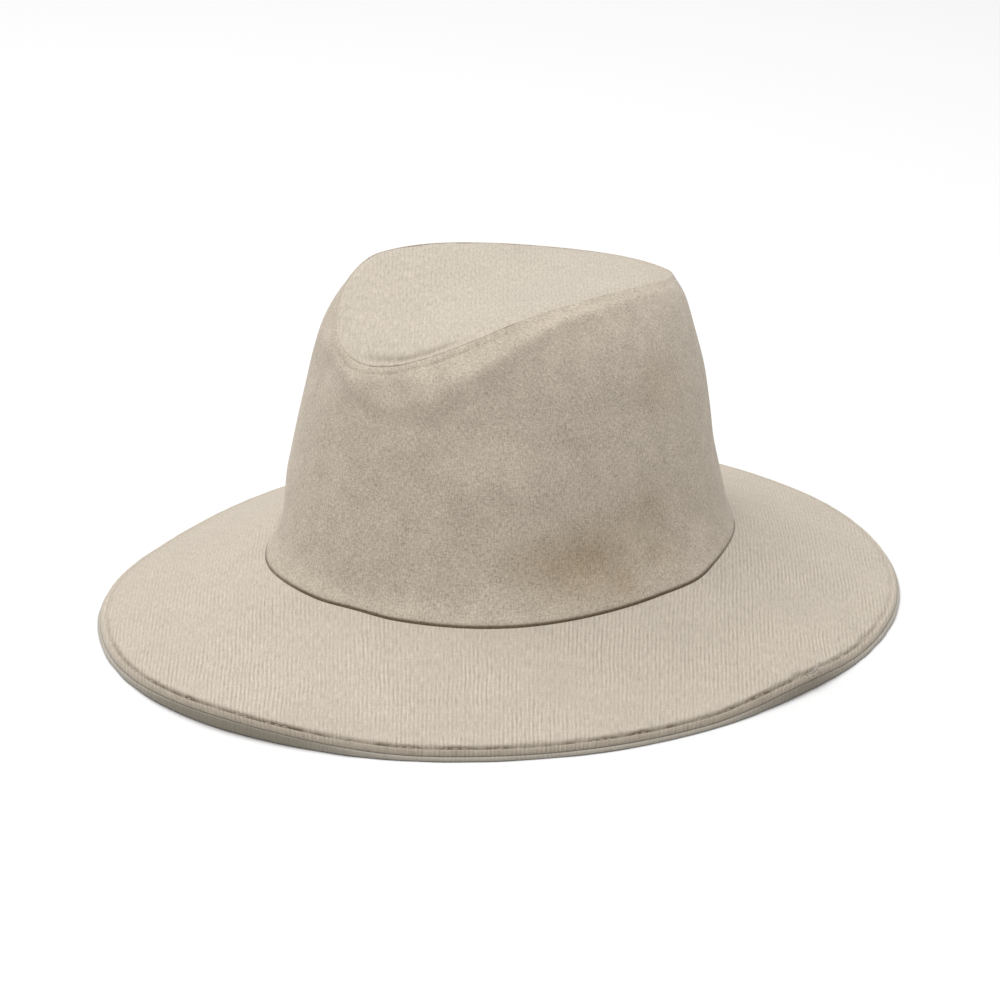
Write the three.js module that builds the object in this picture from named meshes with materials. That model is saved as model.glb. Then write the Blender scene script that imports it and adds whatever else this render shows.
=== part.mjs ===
import * as THREE from "three";

// A cut-and-sew fedora in ribbed canvas, lying on its brim on a level surface.
// Millimetres, +Z up. The front of the hat faces -Y and the wearer's left is +X.
// Angles go round the hat in degrees: 0 front, 90 wearer's left, 180 back, 270 right.

// Cloth and sewing
const CLOTH = 1.5;
const SEWN_GAP = 0.3;
const TIP_INSET = 0.4;
const SEGMENTS = 72;

// Head opening, at the seam where crown and brim meet
const HEAD_FRONT = -98;
const HEAD_BACK = 98;
const HEAD_HALF_WIDTH = 92.8;
const HEAD_POWER = 2.06;
const SEAM_HEIGHT = 30.2;

// Brim edge
const TOP_EDGE_THICKNESS = 2.4;
const UNDER_EDGE_THICKNESS = 1.4;
const TOP_PLY_SETBACK = 2.2;
const EDGE_TURN = 5;
const EDGE_ROUNDING = 0.4;
const FOOT_WIDTH = 3.5;
const BRIM_SAG = 0.22;
const LIFT_RUN = 32;

// Horizontal reach of the brim beyond the head opening, round the hat
const BRIM_REACH = [
  { angle: 0, reach: 69 },
  { angle: 22.5, reach: 63.7 },
  { angle: 45, reach: 59.2 },
  { angle: 67.5, reach: 58.4 },
  { angle: 90, reach: 59.9 },
  { angle: 112.5, reach: 64.6 },
  { angle: 135, reach: 70.6 },
  { angle: 157.5, reach: 75 },
  { angle: 180, reach: 77.5 },
  { angle: 202.5, reach: 75 },
  { angle: 225, reach: 70 },
  { angle: 247.5, reach: 62 },
  { angle: 270, reach: 56.4 },
  { angle: 292.5, reach: 55.3 },
  { angle: 315, reach: 63.6 },
  { angle: 337.5, reach: 68 },
];

// Places where the top ply's edge stands off the lower ply
const EDGE_LIFTS = [
  { angle: 8, halfSpan: 30, rise: 3.6 },
  { angle: 99, halfSpan: 18, rise: 2.6 },
  { angle: 205, halfSpan: 26, rise: 1.6 },
];

// Dip along the middle of the top panel
const TIP_DIP = 6;
const TIP_ROWS = 6;

// The crown's top has settled a little at its right back, and stands up at its right
const TOP_SETTLING = [
  { angle: 227, halfSpan: 40, drop: 2.1 },
  { angle: 275, halfSpan: 34, drop: -1.3 },
];

// Rings of the crown's outer face, from the hem inside the brim to the tip seam.
// front and back are the ends in Y, widest is the Y of the greatest half width,
// and the three heights are at the front, at the sides and at the back.
const HEM_HEIGHT = SEAM_HEIGHT - 2 * CLOTH - SEWN_GAP;
const CROWN_RINGS = [
  { front: HEAD_FRONT, back: HEAD_BACK, widest: 0, halfWidth: HEAD_HALF_WIDTH,
    frontPower: HEAD_POWER, backPower: HEAD_POWER,
    frontHeight: HEM_HEIGHT, sideHeight: HEM_HEIGHT, backHeight: HEM_HEIGHT },
  { front: HEAD_FRONT, back: HEAD_BACK, widest: 0, halfWidth: HEAD_HALF_WIDTH,
    frontPower: HEAD_POWER, backPower: HEAD_POWER,
    frontHeight: SEAM_HEIGHT, sideHeight: SEAM_HEIGHT, backHeight: SEAM_HEIGHT },
  { front: -93, back: 98, widest: 0, halfWidth: 88.3,
    frontPower: 2, backPower: 2,
    frontHeight: 38, sideHeight: 38, backHeight: 38 },
  { front: -85.5, back: 97, widest: 1, halfWidth: 82,
    frontPower: 2, backPower: 2,
    frontHeight: 62, sideHeight: 62, backHeight: 62 },
  { front: -78.5, back: 96.2, widest: -1, halfWidth: 73.8,
    frontPower: 2, backPower: 2,
    frontHeight: 92, sideHeight: 97, backHeight: 91 },
  { front: -75.5, back: 94, widest: -4, halfWidth: 67,
    frontPower: 2, backPower: 2,
    frontHeight: 106, sideHeight: 118, backHeight: 106 },
  { front: -74, back: 93.5, widest: -9, halfWidth: 59,
    frontPower: 1.95, backPower: 2,
    frontHeight: 115.5, sideHeight: 132, backHeight: 117 },
  { front: -71, back: 91.5, widest: -17, halfWidth: 48,
    frontPower: 1.9, backPower: 2,
    frontHeight: 121.2, sideHeight: 142, backHeight: 124.5 },
];
const ROWS_BETWEEN_RINGS = [1, 1, 2, 2, 2, 3, 5];

const TIP_RING = CROWN_RINGS[CROWN_RINGS.length - 1];

// Soft dents in the crown's wall: a pinch each side of the front, the sags at left and back,
// and where the foot of the wall strays from the oval. A bulge has a depth below zero.
const WALL_DENTS = [
  { angle: 20, height: 111, halfSpan: 20, halfHeight: 13, depth: 2.6 },
  { angle: 336, height: 111, halfSpan: 20, halfHeight: 13, depth: 2.2 },
  { angle: 86, height: 52, halfSpan: 36, halfHeight: 24, depth: 3 },
  { angle: 232, height: 60, halfSpan: 40, halfHeight: 26, depth: 2 },
  { angle: 311, height: 30, halfSpan: 32, halfHeight: 32, depth: 6.2 },
  { angle: 13, height: 30, halfSpan: 12, halfHeight: 20, depth: 1.7 },
  { angle: 52, height: 30, halfSpan: 30, halfHeight: 16, depth: -1.6 },
  { angle: 104, height: 30, halfSpan: 13, halfHeight: 14, depth: -1.6 },
  { angle: 146, height: 36, halfSpan: 26, halfHeight: 34, depth: -3.2 },
];

// Soft fold below the tip seam, where the cloth of the shoulder stands proud:
// its distance down the wall from the seam, and how far it is pushed out
const SHOULDER_FOLD = [
  { angle: -30, below: 5, push: 0 },
  { angle: 0, below: 5, push: 0.5 },
  { angle: 15, below: 8.5, push: 2.4 },
  { angle: 30, below: 12.5, push: 3 },
  { angle: 45, below: 11, push: 2.4 },
  { angle: 60, below: 9, push: 1.8 },
  { angle: 90, below: 7, push: 1.2 },
  { angle: 120, below: 5, push: 0.8 },
  { angle: 150, below: 5, push: 0 },
];
const FOLD_FADE = 10;

// Looks of the four pieces
const CROWN_COLOUR = 0xb8ab98;
const TIP_COLOUR = 0xd6cbb9;
const BRIM_COLOUR = 0xcfc3b0;
const UNDER_COLOUR = 0xc6bba8;

function radians(degrees) {
  return (degrees * Math.PI) / 180;
}

function signedPower(value, power) {
  return Math.sign(value) * Math.abs(value) ** power;
}

function smoothStep(value) {
  const t = THREE.MathUtils.clamp(value, 0, 1);
  return t * t * (3 - 2 * t);
}

// Height of a ring, blended between front, sides and back
function ringHeight(ring, angle) {
  const side = Math.sin(radians(angle));
  const ahead = Math.cos(radians(angle));
  const endHeight = ahead > 0 ? ring.frontHeight : ring.backHeight;
  return ring.sideHeight * side * side + endHeight * ahead * ahead;
}

// A point of an egg-shaped ring
function ringPoint(ring, angle) {
  const side = Math.sin(radians(angle));
  const ahead = Math.cos(radians(angle));
  const power = ahead > 0 ? ring.frontPower : ring.backPower;
  const end = ahead > 0 ? ring.front : ring.back;
  const x = ring.halfWidth * signedPower(side, 2 / power);
  const y = ring.widest + (end - ring.widest) * Math.abs(ahead) ** (2 / power);
  const z = ringHeight(ring, angle);
  const share = Math.max(z - SEAM_HEIGHT, 0) / (TIP_RING.sideHeight - SEAM_HEIGHT);
  return new THREE.Vector3(x, y, z - topDrop(angle) * share ** 2);
}

function topDrop(angle) {
  let total = 0;
  for (const { angle: middle, halfSpan, drop } of TOP_SETTLING) {
    total += drop * smoothStep(1 - angleBetween(angle, middle) / halfSpan);
  }
  return total;
}

// Outward direction of the head opening's oval, level with the ground
function seamOutward(angle) {
  const x = Math.sin(radians(angle)) / HEAD_HALF_WIDTH;
  const y = -Math.cos(radians(angle)) / HEAD_BACK;
  return new THREE.Vector3(x, y, 0).normalize();
}

// Reach of the brim at any angle, as a closed smooth curve through the table
function brimReach(angle) {
  const count = BRIM_REACH.length;
  const step = 360 / count;
  const index = Math.floor(angle / step);
  const t = angle / step - index;
  const value = (offset) => BRIM_REACH[(index + offset + count) % count].reach;
  const rise = (value(1) - value(-1)) / 2;
  const nextRise = (value(2) - value(0)) / 2;
  const cubic = 2 * value(0) - 2 * value(1) + rise + nextRise;
  const square = 3 * value(1) - 3 * value(0) - 2 * rise - nextRise;
  return ((cubic * t + square) * t + rise) * t + value(0);
}

function edgeLift(angle) {
  let lift = 0;
  for (const { angle: middle, halfSpan, rise } of EDGE_LIFTS) {
    lift += rise * smoothStep(1 - angleBetween(angle, middle) / halfSpan);
  }
  return lift;
}

// Steps between two angles, the short way round
function angleBetween(first, second) {
  return Math.abs(((first - second + 540) % 360) - 180);
}

function wallDent(angle, height) {
  const clearHeight = Math.max(height, SEAM_HEIGHT);
  let dent = 0;
  for (const { angle: middle, height: level, halfSpan, halfHeight, depth } of WALL_DENTS) {
    const across = smoothStep(1 - angleBetween(angle, middle) / halfSpan);
    const upward = smoothStep(1 - Math.abs(clearHeight - level) / halfHeight);
    dent += depth * across * upward;
  }
  return dent;
}

// Outward push of the shoulder fold at a distance down the wall from the tip seam
function shoulderPush(angle, belowTip) {
  const turn = ((angle + 180) % 360) - 180;
  const next = SHOULDER_FOLD.findIndex((row) => row.angle > turn);
  if (next < 1) {
    return 0;
  }
  const [from, to] = [SHOULDER_FOLD[next - 1], SHOULDER_FOLD[next]];
  const t = smoothStep((turn - from.angle) / (to.angle - from.angle));
  const below = THREE.MathUtils.lerp(from.below, to.below, t);
  const push = THREE.MathUtils.lerp(from.push, to.push, t);
  return belowTip < below
    ? (push * belowTip) / below
    : push * smoothStep(1 - (belowTip - below) / FOLD_FADE);
}

// How far the base seam strays outward from the head opening's oval
function seamShift(angle) {
  return -wallDent(angle, SEAM_HEIGHT);
}

// Height of the top ply's upper face at a distance from the oval, without any lift
function brimHeight(angle, distance) {
  const topReach = brimReach(angle) - TOP_PLY_SETBACK - TOP_EDGE_THICKNESS / 2;
  const edgeHeight = UNDER_EDGE_THICKNESS + SEWN_GAP + TOP_EDGE_THICKNESS;
  const run = (distance - seamShift(angle)) / (topReach - seamShift(angle));
  const drop = run + BRIM_SAG * run * (1 - run);
  return SEAM_HEIGHT - (SEAM_HEIGHT - edgeHeight) * drop;
}

function brimPoint(angle, distance, height) {
  const point = ringPoint(CROWN_RINGS[1], angle);
  point.addScaledVector(seamOutward(angle), distance);
  point.z = height;
  return point;
}

function brimDistances(angle) {
  const start = seamShift(angle) + SEWN_GAP;
  const end = brimReach(angle) - TOP_PLY_SETBACK - EDGE_TURN;
  return [0, 0.2, 0.4, 0.6, 0.8, 1].map((share) => THREE.MathUtils.lerp(start, end, share));
}

// Section of the top ply at one angle: lower face out, round edge, upper face back
function topPlySection(angle) {
  const reach = brimReach(angle);
  const lift = edgeLift(angle);
  const radius = TOP_EDGE_THICKNESS / 2;
  const edgeMiddle = reach - TOP_PLY_SETBACK - radius;
  const liftAt = (distance) => lift * smoothStep(1 - (edgeMiddle - distance) / LIFT_RUN);
  const distances = brimDistances(angle);
  const upper = distances.map((distance) =>
    brimPoint(angle, distance, brimHeight(angle, distance) + liftAt(distance)));
  const lower = distances.map((distance) =>
    brimPoint(angle, distance, brimHeight(angle, distance) - CLOTH + liftAt(distance)));
  const edgeHeight = UNDER_EDGE_THICKNESS + SEWN_GAP + radius + lift;
  const edge = [-90, -45, 0, 45, 90].map((turn) =>
    brimPoint(angle,
      edgeMiddle + radius * Math.cos(radians(turn)),
      edgeHeight + radius * Math.sin(radians(turn))));
  return [...lower, ...edge, ...upper.reverse()];
}

// Section of the lower ply at one angle, with the narrow flat that it rests on
function underPlySection(angle) {
  const reach = brimReach(angle);
  const below = CLOTH + SEWN_GAP;
  const distances = brimDistances(angle);
  const upper = distances.map((distance) =>
    brimPoint(angle, distance, brimHeight(angle, distance) - below));
  const lower = distances.map((distance) =>
    brimPoint(angle, distance, brimHeight(angle, distance) - below - CLOTH));
  const topEdgeMiddle = reach - TOP_PLY_SETBACK - TOP_EDGE_THICKNESS / 2;
  const edge = [
    brimPoint(angle, reach - EDGE_ROUNDING - FOOT_WIDTH, 0),
    brimPoint(angle, reach - EDGE_ROUNDING, 0),
    brimPoint(angle, reach, UNDER_EDGE_THICKNESS / 2),
    brimPoint(angle, reach - EDGE_ROUNDING, UNDER_EDGE_THICKNESS),
    brimPoint(angle, topEdgeMiddle, UNDER_EDGE_THICKNESS),
  ];
  return [...lower, ...edge, ...upper.reverse()];
}

// Outer face of the crown's wall, as rows of points from the hem up to the tip seam
function crownRows() {
  const columns = [];
  for (let segment = 0; segment < SEGMENTS; segment += 1) {
    const angle = (360 * segment) / SEGMENTS;
    const curve = new THREE.CatmullRomCurve3(
      CROWN_RINGS.map((ring) => ringPoint(ring, angle)), false, "centripetal");
    const column = [];
    ROWS_BETWEEN_RINGS.forEach((rows, span) => {
      for (let row = 0; row < rows; row += 1) {
        column.push(curve.getPoint((span + row / rows) / ROWS_BETWEEN_RINGS.length));
      }
    });
    column.push(ringPoint(TIP_RING, angle));
    const outward = seamOutward(angle);
    column.forEach((point) => point.addScaledVector(outward, -wallDent(angle, point.z)));
    columns.push(column);
  }
  return columns.map((column, segment) => pushShoulder(columns, column, segment));
}

// The column with its shoulder fold pushed out, square to the wall
function pushShoulder(columns, column, segment) {
  const pushed = [];
  let belowTip = 0;
  for (let row = column.length - 1; row >= 0; row -= 1) {
    belowTip += row < column.length - 1 ? column[row].distanceTo(column[row + 1]) : 0;
    const push = shoulderPush((360 * segment) / SEGMENTS, belowTip);
    pushed.unshift(column[row].clone().addScaledVector(gridNormal(columns, segment, row), push));
  }
  return pushed;
}

// Height of the top panel: arched from front to back like its seam, dipped in the middle
function tipPoint(angle, share) {
  const rim = ringPoint(TIP_RING, angle);
  const x = rim.x * share;
  const y = TIP_RING.widest + (rim.y - TIP_RING.widest) * share;
  const ahead = y < TIP_RING.widest;
  const end = ahead ? TIP_RING.front : TIP_RING.back;
  const power = ahead ? TIP_RING.frontPower : TIP_RING.backPower;
  const endHeight = ahead ? TIP_RING.frontHeight : TIP_RING.backHeight;
  const run = Math.abs((y - TIP_RING.widest) / (end - TIP_RING.widest));
  const arch = TIP_RING.sideHeight - (TIP_RING.sideHeight - endHeight) * run ** power;
  const dip = TIP_DIP * (1 - share * share) ** 2;
  const settled = (ringHeight(TIP_RING, angle) - rim.z) * share ** 2;
  return new THREE.Vector3(x, y, arch - settled - dip);
}

// Direction square to a grid of columns, pointing away from the head
function gridNormal(columns, segment, row) {
  const count = columns.length;
  const last = columns[0].length - 1;
  const along = new THREE.Vector3().subVectors(
    columns[(segment + 1) % count][row], columns[(segment + count - 1) % count][row]);
  const up = new THREE.Vector3().subVectors(
    columns[segment][Math.min(row + 1, last)], columns[segment][Math.max(row - 1, 0)]);
  return along.cross(up).normalize();
}

// Inward step at the tip seam that gives wall and top panel one mitred joint
function mitreStep(wallNormal, tipNormal) {
  const middle = new THREE.Vector3().addVectors(wallNormal, tipNormal).normalize();
  return middle.multiplyScalar(CLOTH / middle.dot(wallNormal));
}

// A closed ring body from one closed section per segment
function ringBody(sections) {
  const positions = [];
  const faces = [];
  const size = sections[0].length;
  sections.forEach((section) => section.forEach((point) => positions.push(...point)));
  for (let segment = 0; segment < sections.length; segment += 1) {
    const next = (segment + 1) % sections.length;
    for (let index = 0; index < size; index += 1) {
      const after = (index + 1) % size;
      const a = segment * size + index;
      const b = next * size + index;
      const c = next * size + after;
      const d = segment * size + after;
      faces.push(a, b, c, a, c, d);
    }
  }
  return body(positions, faces);
}

// A closed sheet from one open section per segment, whose ends meet in two middle points
function sheetBody(sections, underMiddle, topMiddle) {
  const positions = [];
  const faces = [];
  const size = sections[0].length;
  sections.forEach((section) => section.forEach((point) => positions.push(...point)));
  positions.push(...underMiddle, ...topMiddle);
  const under = sections.length * size;
  const top = under + 1;
  for (let segment = 0; segment < sections.length; segment += 1) {
    const next = (segment + 1) % sections.length;
    for (let index = 0; index < size - 1; index += 1) {
      const a = segment * size + index;
      const b = next * size + index;
      faces.push(a, b, b + 1, a, b + 1, a + 1);
    }
    faces.push(under, next * size, segment * size);
    faces.push(top, segment * size + size - 1, next * size + size - 1);
  }
  return body(positions, faces);
}

function body(positions, faces) {
  const geometry = new THREE.BufferGeometry();
  geometry.setAttribute("position", new THREE.Float32BufferAttribute(positions, 3));
  geometry.setIndex(faces);
  geometry.computeVertexNormals();
  return geometry;
}

function piece(name, geometry, colour) {
  const material = new THREE.MeshStandardMaterial({ color: colour, roughness: 0.95, metalness: 0 });
  const mesh = new THREE.Mesh(geometry, material);
  mesh.name = name;
  return mesh;
}

const angles = Array.from({ length: SEGMENTS }, (_, segment) => (360 * segment) / SEGMENTS);

function crownAndTip() {
  const wall = crownRows();
  const seamRow = wall[0].length - 1;
  const shares = Array.from({ length: TIP_ROWS }, (_, row) => 1 - row / TIP_ROWS);
  const tip = angles.map((angle) => shares.map((share) => tipPoint(angle, share)));
  const middle = tipPoint(0, 0);

  const wallSections = [];
  const tipSections = [];
  wall.forEach((outer, segment) => {
    const wallNormal = gridNormal(wall, segment, seamRow);
    const tipNormal = gridNormal(tip, segment, 0);
    const mitre = mitreStep(wallNormal, tipNormal);

    const inner = outer.map((point, row) =>
      point.clone().addScaledVector(gridNormal(wall, segment, row), -CLOTH));
    inner[seamRow] = outer[seamRow].clone().sub(mitre);
    inner[0].z = HEM_HEIGHT;
    wallSections.push([...outer, ...inner.reverse()]);

    const upper = tip[segment].map((point) => point.clone());
    const inward = new THREE.Vector3().subVectors(middle, upper[0]).setZ(0).normalize();
    upper[0].addScaledVector(inward, TIP_INSET);
    const under = tip[segment].map((point, row) =>
      point.clone().addScaledVector(gridNormal(tip, segment, row), -CLOTH));
    under[0] = upper[0].clone().sub(mitre);
    tipSections.push([...under.reverse(), ...upper]);
  });
  const underMiddle = middle.clone();
  underMiddle.z -= CLOTH;
  return {
    wall: ringBody(wallSections),
    tip: sheetBody(tipSections, underMiddle, middle),
  };
}

const crown = crownAndTip();
const hat = new THREE.Group();
hat.add(
  piece("crown_side", crown.wall, CROWN_COLOUR),
  piece("crown_tip", crown.tip, TIP_COLOUR),
  piece("brim_top", ringBody(angles.map(topPlySection)), BRIM_COLOUR),
  piece("brim_under", ringBody(angles.map(underPlySection)), UNDER_COLOUR),
);

// The origin lies on the ground under the middle of the hat's outline
const outline = new THREE.Box3().setFromObject(hat, true);
const middleX = (outline.min.x + outline.max.x) / 2;
const middleY = (outline.min.y + outline.max.y) / 2;
hat.children.forEach((mesh) => mesh.geometry.translate(-middleX, -middleY, 0));

export default hat;
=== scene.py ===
import math
import random
import bmesh
import bpy
from mathutils import Matrix, Vector, noise


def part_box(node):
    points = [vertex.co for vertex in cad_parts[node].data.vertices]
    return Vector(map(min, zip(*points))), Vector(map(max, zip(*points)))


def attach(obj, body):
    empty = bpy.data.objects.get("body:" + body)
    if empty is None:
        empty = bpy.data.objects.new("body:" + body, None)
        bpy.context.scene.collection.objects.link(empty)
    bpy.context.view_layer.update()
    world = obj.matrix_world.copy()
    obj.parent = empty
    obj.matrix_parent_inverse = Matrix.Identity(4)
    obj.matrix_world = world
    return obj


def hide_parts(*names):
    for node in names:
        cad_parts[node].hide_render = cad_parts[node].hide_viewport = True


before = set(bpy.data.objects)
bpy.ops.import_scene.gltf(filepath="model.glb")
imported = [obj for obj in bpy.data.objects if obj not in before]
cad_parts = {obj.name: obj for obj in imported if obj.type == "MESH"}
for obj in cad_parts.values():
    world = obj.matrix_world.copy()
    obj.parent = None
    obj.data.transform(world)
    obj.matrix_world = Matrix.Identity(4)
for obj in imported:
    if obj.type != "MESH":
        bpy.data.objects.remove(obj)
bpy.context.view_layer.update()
print("frame loaded")

# Angles go round the hat in degrees: 0 front (-Y), 90 wearer's left (+X), 180 back, 270 right.
# Tables are in millimetres, and mm turns them into the scene's metres.
mm = 0.001

# The head opening, where crown and brim are sewn together, comes from the solids.
wallLow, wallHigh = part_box("crown_side")
headMiddle = Vector(((wallLow.x + wallHigh.x) / 2, (wallLow.y + wallHigh.y) / 2, 0))
headHalfWidth = (wallHigh.x - wallLow.x) / 2
headHalfLength = (wallHigh.y - wallLow.y) / 2
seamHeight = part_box("brim_top")[1].z

canvas = {
    "thickness": 1.5 * mm,
    "pressedGap": 0.05 * mm,  # between two cloths that are sewn together
    "ribHeading": 47,  # the ribs of brim and tip run along this heading
    "swell": 0.3 * mm,  # slow unevenness of soft cloth
    "swellLength": 30 * mm,
    "ripple": 0.12 * mm,
    "rippleLength": 11 * mm,
}


def smoothStep(value):
    t = min(max(value, 0), 1)
    return t * t * (3 - 2 * t)


def turned(first, second):  # signed turn from second to first, the short way
    return (first - second + 540) % 360 - 180


def sineCosine(degrees):
    return math.sin(math.radians(degrees)), math.cos(math.radians(degrees))


def stretch(angle, middle, halfSpan, steepness=1):  # 1 at the middle of a stretch, 0 past its ends
    return smoothStep(steepness * (1 - abs(turned(angle, middle)) / halfSpan))


def sumStretches(angle, table):  # each row: middle, half span, amount
    return sum(amount * stretch(angle, middle, halfSpan) for middle, halfSpan, amount in table)


def columnAngles(count):
    return [360 * i / count for i in range(count)]


def unevenness(point):
    swell = canvas["swell"] * noise.noise(point / canvas["swellLength"])
    rippleStart = Vector((7, 3, 5))
    return swell + canvas["ripple"] * noise.noise(point / canvas["rippleLength"] + rippleStart)


def pucker(along, period, seed):  # about -1 to 1, soft gathers along a line of stitches
    slow = noise.noise(Vector((along / period, seed, 0.3)))
    quick = noise.noise(Vector((along / period * 2.3, seed + 9, 0.7)))
    return 1.2 * slow + 0.5 * quick


# One ring of cloth after another is extruded from a circle, and each is set down where the section says.
def startCircle(name, sections):
    bpy.ops.mesh.primitive_circle_add(vertices=len(sections), radius=headHalfWidth, location=headMiddle,
                                      calc_uvs=False)
    piece = bpy.context.active_object
    piece.name = name
    piece.data.name = name
    bpy.ops.object.transform_apply()
    bpy.ops.object.mode_set(mode="EDIT")
    bpy.ops.mesh.select_all(action="SELECT")
    mesh = bmesh.from_edit_mesh(piece.data)
    columnLayer = mesh.verts.layers.int.new("column")
    mesh.verts.layers.int.new("row")
    for vertex in mesh.verts:
        fromMiddle = vertex.co - headMiddle
        turn = math.degrees(math.atan2(fromMiddle.x, -fromMiddle.y))
        vertex[columnLayer] = round(turn / 360 * len(sections)) % len(sections)
    return piece


def layRow(piece, sections, row):
    mesh = bmesh.from_edit_mesh(piece.data)
    columnLayer = mesh.verts.layers.int["column"]
    rowLayer = mesh.verts.layers.int["row"]
    for vertex in mesh.verts:
        if vertex.select:
            vertex.co = sections[vertex[columnLayer]][row]
            vertex[rowLayer] = row
    bmesh.update_edit_mesh(piece.data)


# A panel: its section starts under the middle, turns at the edge and ends on top of the middle.
# A ring, such as the wall or a brim ply, has a closed section.
def sewCloth(name, sections, isRing):
    piece = startCircle(name, sections)
    rowCount = len(sections[0])
    layRow(piece, sections, 0)
    for row in range(1, rowCount):
        bpy.ops.mesh.extrude_edges_move()
        layRow(piece, sections, row)
    if isRing:
        bpy.ops.mesh.select_all(action="DESELECT")
        mesh = bmesh.from_edit_mesh(piece.data)
        rowLayer = mesh.verts.layers.int["row"]
        for edge in mesh.edges:
            start, end = [vertex[rowLayer] for vertex in edge.verts]
            if start == end and start in (0, rowCount - 1):
                edge.select_set(True)
        bpy.ops.mesh.bridge_edge_loops()
    bpy.ops.object.mode_set(mode="OBJECT")
    return piece


def closeMiddle():  # each open ring round the middle is drawn together into one point
    bpy.ops.object.mode_set(mode="EDIT")
    bpy.ops.mesh.select_all(action="DESELECT")
    bpy.ops.mesh.select_non_manifold()
    bpy.ops.mesh.merge(type="COLLAPSE")
    bpy.ops.object.mode_set(mode="OBJECT")


# Weave coordinates in metres, and marks from 0 to 1: painted shade in seams, creases and edges; brownish
# stain, partly painted shade; worn ribs and painted light
def markCloth(piece, flats, shadeMarks, around=0, stainsAndShade=None, fadesAndLight=None):
    data = piece.data
    columns = [item.value for item in data.attributes["column"].data]
    rows = [item.value for item in data.attributes["row"].data]
    weave = data.uv_layers.new(name="weave")
    for face in data.polygons:
        places = [columns[data.loops[loop].vertex_index] for loop in face.loop_indices]
        wraps = max(places) - min(places) > len(flats) / 2
        for loop, place in zip(face.loop_indices, places):
            u, v = flats[place][rows[data.loops[loop].vertex_index]]
            if wraps and place < len(flats) / 2:
                u += around
            weave.data[loop].uv = (u, v)
    for name, marks in (("paintedShade", shadeMarks), ("stainedAndShaded", stainsAndShade), ("fadedAndLit", fadesAndLight)):
        mark = data.attributes.new(name, "FLOAT", "POINT")
        for vertex in data.vertices:
            value = marks[columns[vertex.index]][rows[vertex.index]] if marks else 0
            mark.data[vertex.index].value = value
    for name in ("column", "row"):
        data.attributes.remove(data.attributes[name])


def finishPiece(piece, material):
    bpy.ops.object.shade_smooth()
    piece.data.materials.append(material)
    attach(piece, "root")
    print(piece.name, "made,", len(piece.data.polygons), "faces")


def finishCloth(piece, material, node):
    smoother = piece.modifiers.new("soft cloth", "SUBSURF")
    smoother.levels = 1
    smoother.render_levels = 1
    bpy.ops.object.modifier_apply(modifier=smoother.name)
    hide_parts(node)
    finishPiece(piece, material)


def thinned(rows, step):  # every so many rows, and always the last
    picked = list(rows[::step])
    if picked[-1] != rows[-1]:
        picked.append(rows[-1])
    return picked


# Normals of a grid of columns that closes round the hat
def gridNormals(columns):
    last = len(columns[0]) - 1
    normals = []
    for i, column in enumerate(columns):
        ahead, behind = columns[(i + 1) % len(columns)], columns[i - 1]
        ups = [column[min(row + 1, last)] - column[max(row - 1, 0)] for row in range(last + 1)]
        normals.append([(ahead[row] - behind[row]).cross(up).normalized() for row, up in enumerate(ups)])
    return normals


def ringHeight(ring, angle):  # blended between front, sides and back
    frontHeight, sideHeight, backHeight = ring[6:]
    side, ahead = sineCosine(angle)
    return sideHeight * side * side + (frontHeight if ahead > 0 else backHeight) * ahead * ahead


# A point of an egg-shaped ring, with the settling of the crown's top
def ringPoint(ring, angle):
    front, back, widest, halfWidth, frontPower, backPower = ring[:6]
    side, ahead = sineCosine(angle)
    power = frontPower if ahead > 0 else backPower
    end = front if ahead > 0 else back
    x = halfWidth * math.copysign(abs(side) ** (2 / power), side)
    y = widest + (end - widest) * abs(ahead) ** (2 / power)
    z = ringHeight(ring, angle)
    topHeight = crownWall["rings"][-1][7]
    share = max(z - seamHeight / mm, 0) / (topHeight - seamHeight / mm)
    drop = sumStretches(angle, crownWall["settling"])
    return Vector((x, y, z - drop * share ** 2)) * mm + headMiddle


def seamOutward(angle):  # outward from the head opening's oval, level with the ground
    side, ahead = sineCosine(angle)
    return Vector((side / headHalfWidth, -ahead / headHalfLength, 0)).normalized()


# Smooth path through knots, with many steps between each two
def softPath(knots, steps):
    path = []
    for i in range(len(knots) - 1):
        start, end = knots[i], knots[i + 1]
        before = knots[i - 1] if i > 0 else 2 * start - end
        after = knots[i + 2] if i + 2 < len(knots) else 2 * end - start
        gapBefore = math.sqrt((start - before).length)
        gap = math.sqrt((end - start).length)
        gapAfter = math.sqrt((after - end).length)
        leave = (start - before) / gapBefore - (end - before) / (gapBefore + gap) + (end - start) / gap
        arrive = (end - start) / gap - (after - start) / (gap + gapAfter) + (after - end) / gapAfter
        for step in range(steps):
            t = step / steps
            path.append(start * (2 * t ** 3 - 3 * t ** 2 + 1) + end * (3 * t ** 2 - 2 * t ** 3)
                        + leave * gap * (t ** 3 - 2 * t ** 2 + t) + arrive * gap * (t ** 3 - t ** 2))
    path.append(knots[-1])
    return path


def lineLengths(points):  # distance walked along a line of points at each of them
    lengths = [0]
    for start, end in zip(points, points[1:]):
        lengths.append(lengths[-1] + (end - start).length)
    return lengths


# For each rising distance along a line: the number of the point before, and the share of the way on
def walkLine(points, distances):
    lengths = lineLengths(points)
    steps, i = [], 0
    for distance in distances:
        while i < len(points) - 2 and lengths[i + 1] < distance:
            i += 1
        steps.append((i, min((distance - lengths[i]) / (lengths[i + 1] - lengths[i]), 1)))
    return steps


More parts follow.
